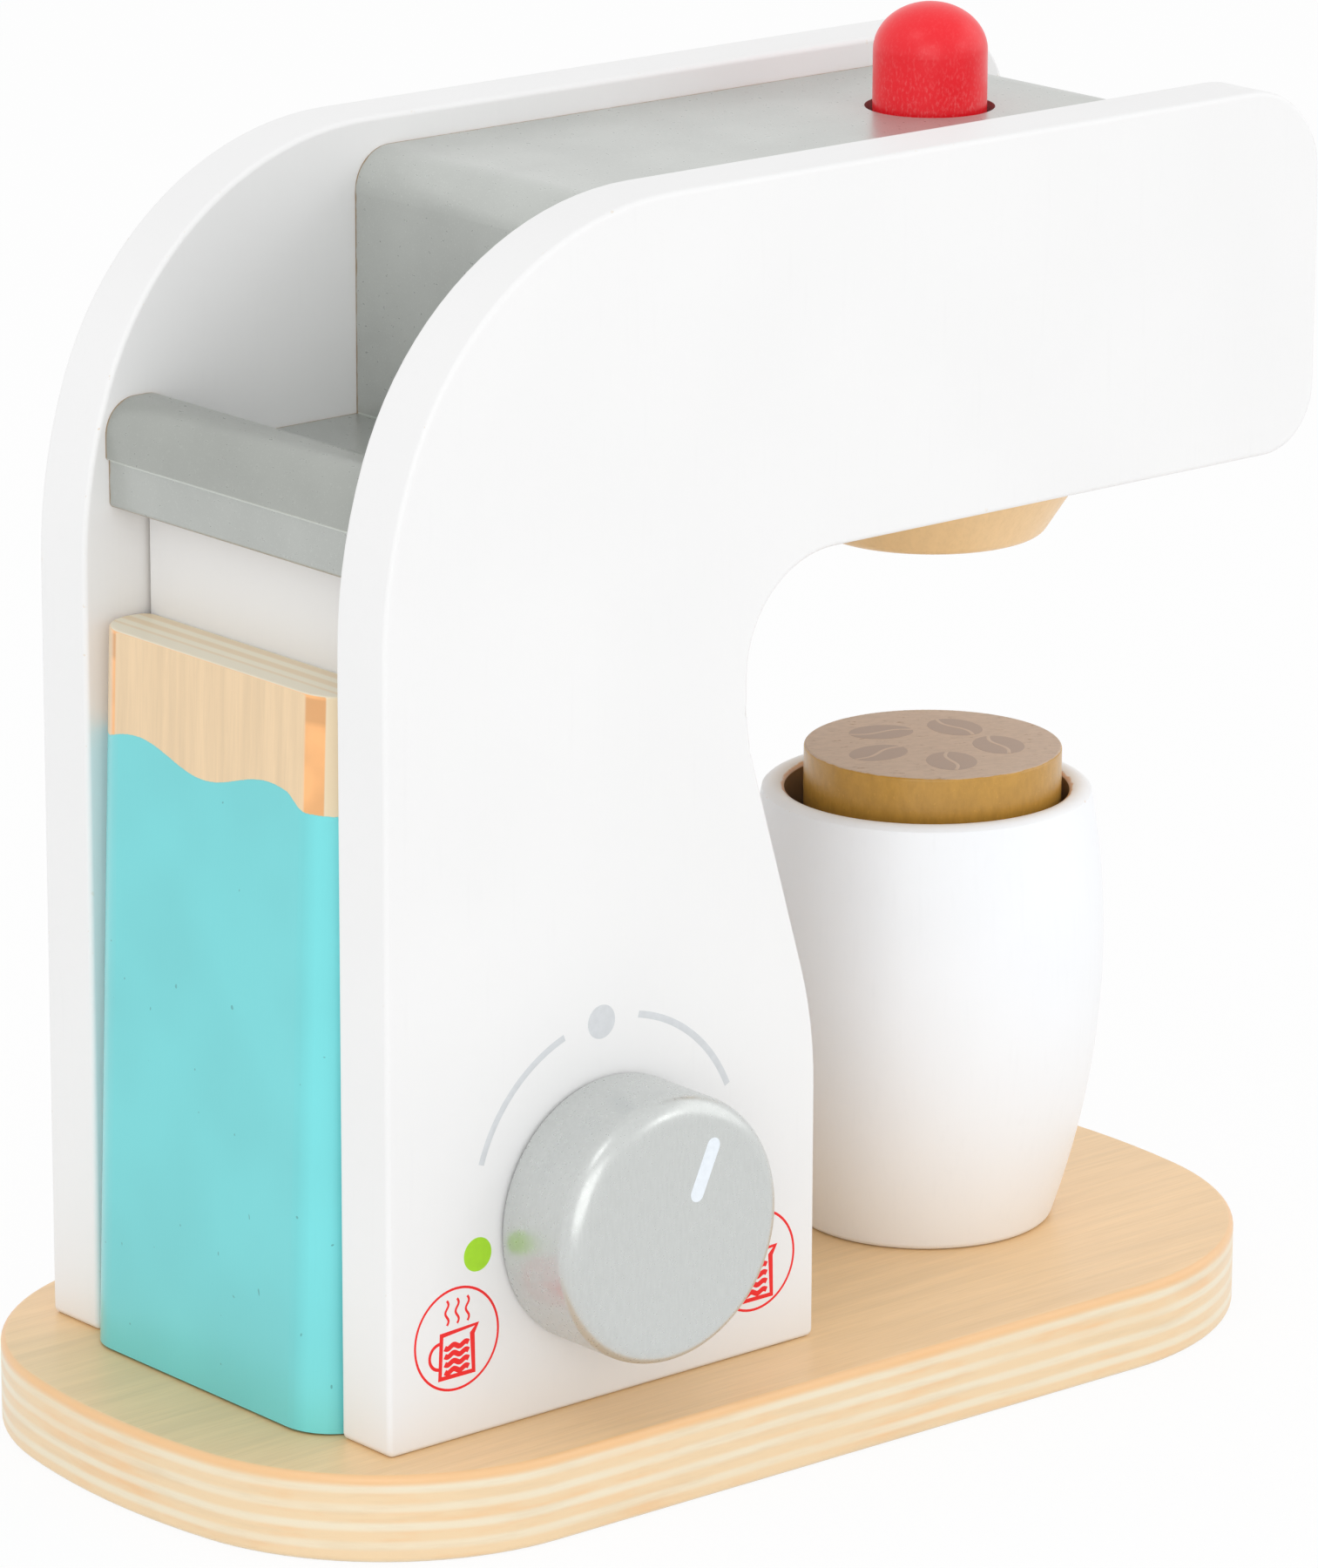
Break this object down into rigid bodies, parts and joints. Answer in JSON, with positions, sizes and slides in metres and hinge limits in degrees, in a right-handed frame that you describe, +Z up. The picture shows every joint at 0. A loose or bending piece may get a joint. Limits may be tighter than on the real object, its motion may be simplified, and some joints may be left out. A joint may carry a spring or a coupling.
{
  "type": "toy coffee maker",
  "caption": "Toy coffee maker of painted plywood: inverted-L body on a rounded base, spring button, turning knob, loose water tank, turned cup and coffee pad.",
  "frame": {"origin": "middle of the base board's underside", "axes": "+X forwards from the water tank to the cup, -Y towards the knob's side, +Z up"},
  "size_m": [0.1824, 0.1023, 0.1823],
  "materials": {
    "birch_plywood": "clear lacquered birch plywood with its plies on the edge",
    "white_paint": "satin white paint on plywood",
    "grey_paint": "satin warm grey paint on wood",
    "red_paint": "semi-gloss red paint on a turned dowel",
    "tank_board": "birch plywood with turquoise paint below a wavy line",
    "silver_paint": "silver lacquer with a fine orange-peel skin",
    "turned_wood": "clear lacquered turned wood",
    "cup_white": "satin white paint on turned wood",
    "pad_paint": "ochre painted side with a taupe printed face",
    "steel": "zinc-plated steel",
    "nylon": "natural nylon",
    "dowel_wood": "plain beech dowel"
  },
  "bodies": {
    "housing": {"base_board": "birch_plywood", "base_screws": "steel", "knob_side_panel": "white_paint", "plain_side_panel": "white_paint", "column_rear_panel": "white_paint", "column_front_panel": "white_paint", "deck_board": "grey_paint", "deck_lip": "grey_paint", "hood_block": "grey_paint", "hood_dowels": "dowel_wood", "brew_head": "turned_wood", "brew_head_screw": "steel", "knob_bush": "nylon", "button_spring": "steel"},
    "button": {"button": "red_paint"},
    "knob": {"knob": "silver_paint", "knob_screw": "steel", "knob_washer": "steel"},
    "water_tank": {"water_tank": "tank_board"},
    "cup": {"cup": "cup_white"},
    "coffee_pad": {"coffee_pad": "pad_paint"}
  },
  "joints": [
    {"name": "button_press", "type": "slide", "parent": "housing", "child": "button", "axis": [0, 0, -1], "range_m": [0, 0.006], "stiffness_N_per_m": 600, "springref_m": -0.003, "deforming": ["button_spring"]},
    {"name": "knob_turn", "type": "hinge", "parent": "housing", "child": "knob", "pos_m": [-0.03525, -0.0365, 0.0385], "axis": [0, -1, 0], "continuous": true},
    {"name": "tank_take_off", "type": "slide", "parent": "housing", "child": "water_tank", "axis": [-1, 0, 0], "range_m": [0, 0.04]},
    {"name": "cup_take_away", "type": "slide", "parent": "housing", "child": "cup", "axis": [1, 0, 0], "range_m": [0, 0.075]},
    {"name": "pad_lift", "type": "slide", "parent": "cup", "child": "coffee_pad", "axis": [0, 0, 1], "range_m": [0, 0.024]}
  ]
}
